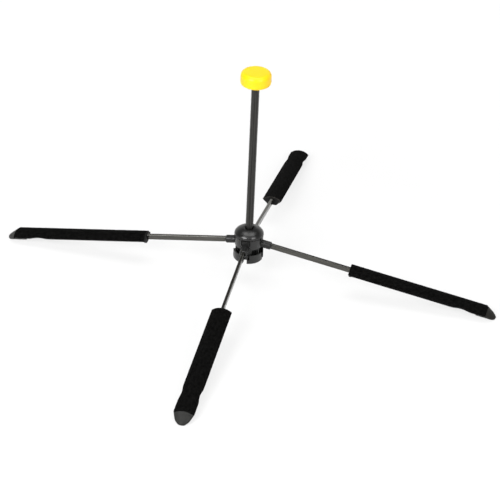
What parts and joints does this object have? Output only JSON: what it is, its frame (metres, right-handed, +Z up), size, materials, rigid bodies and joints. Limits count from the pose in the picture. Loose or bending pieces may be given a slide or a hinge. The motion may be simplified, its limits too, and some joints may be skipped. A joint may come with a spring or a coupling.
{
  "type": "flute stand",
  "caption": "Folding stand for a flute: a thin pole with a round cap on a hub, and hinged legs whose velvet quarter-round ends fold down into one cylinder.",
  "frame": {"origin": "on the table, under the pole", "axes": "+Z up along the pole; the legs point along -X (left), -Y (front), +X (right) and +Y (back)"},
  "size_m": [0.299, 0.299, 0.1384],
  "materials": {
    "hub_plastic": "satin black",
    "knuckle_plastic": "satin black",
    "shell_plastic": "matte black",
    "tip_rubber": "dark grey, matte",
    "black_velvet": "black velvet",
    "bar_metal": "dark satin",
    "pole_metal": "dark satin, drawn lengthwise",
    "pin_steel": "turned",
    "cap_plastic": "bright yellow, satin"
  },
  "bodies": {
    "hub": {"hub_dome": "hub_plastic", "hinge_block": "hub_plastic", "base_cup": "hub_plastic", "base_screw": "pin_steel", "pole_tube": "pole_metal", "pole_plug": "pin_steel", "top_cap": "cap_plastic", "left_pin": "pin_steel", "front_pin": "pin_steel", "right_pin": "pin_steel", "back_pin": "pin_steel"},
    "leg_left": {"left_knuckle": "knuckle_plastic", "left_bar": "bar_metal", "left_shell": "shell_plastic", "left_velvet": "black_velvet", "left_tip": "tip_rubber"},
    "leg_front": {"front_knuckle": "knuckle_plastic", "front_bar": "bar_metal", "front_shell": "shell_plastic", "front_velvet": "black_velvet", "front_tip": "tip_rubber"},
    "leg_right": {"right_knuckle": "knuckle_plastic", "right_bar": "bar_metal", "right_shell": "shell_plastic", "right_velvet": "black_velvet", "right_tip": "tip_rubber"},
    "leg_back": {"back_knuckle": "knuckle_plastic", "back_bar": "bar_metal", "back_shell": "shell_plastic", "back_velvet": "black_velvet", "back_tip": "tip_rubber"}
  },
  "joints": [
    {"name": "leg_left_fold", "type": "hinge", "parent": "hub", "child": "leg_left", "pos_m": [-0.00615, 0, 0.02565], "axis": [0, -1, 0], "range_deg": [0, 81]},
    {"name": "leg_front_fold", "type": "hinge", "parent": "hub", "child": "leg_front", "pos_m": [0, -0.00615, 0.02565], "axis": [1, 0, 0], "range_deg": [0, 81]},
    {"name": "leg_right_fold", "type": "hinge", "parent": "hub", "child": "leg_right", "pos_m": [0.00615, 0, 0.02565], "axis": [0, 1, 0], "range_deg": [0, 81]},
    {"name": "leg_back_fold", "type": "hinge", "parent": "hub", "child": "leg_back", "pos_m": [0, 0.00615, 0.02565], "axis": [-1, 0, 0], "range_deg": [0, 81]}
  ]
}
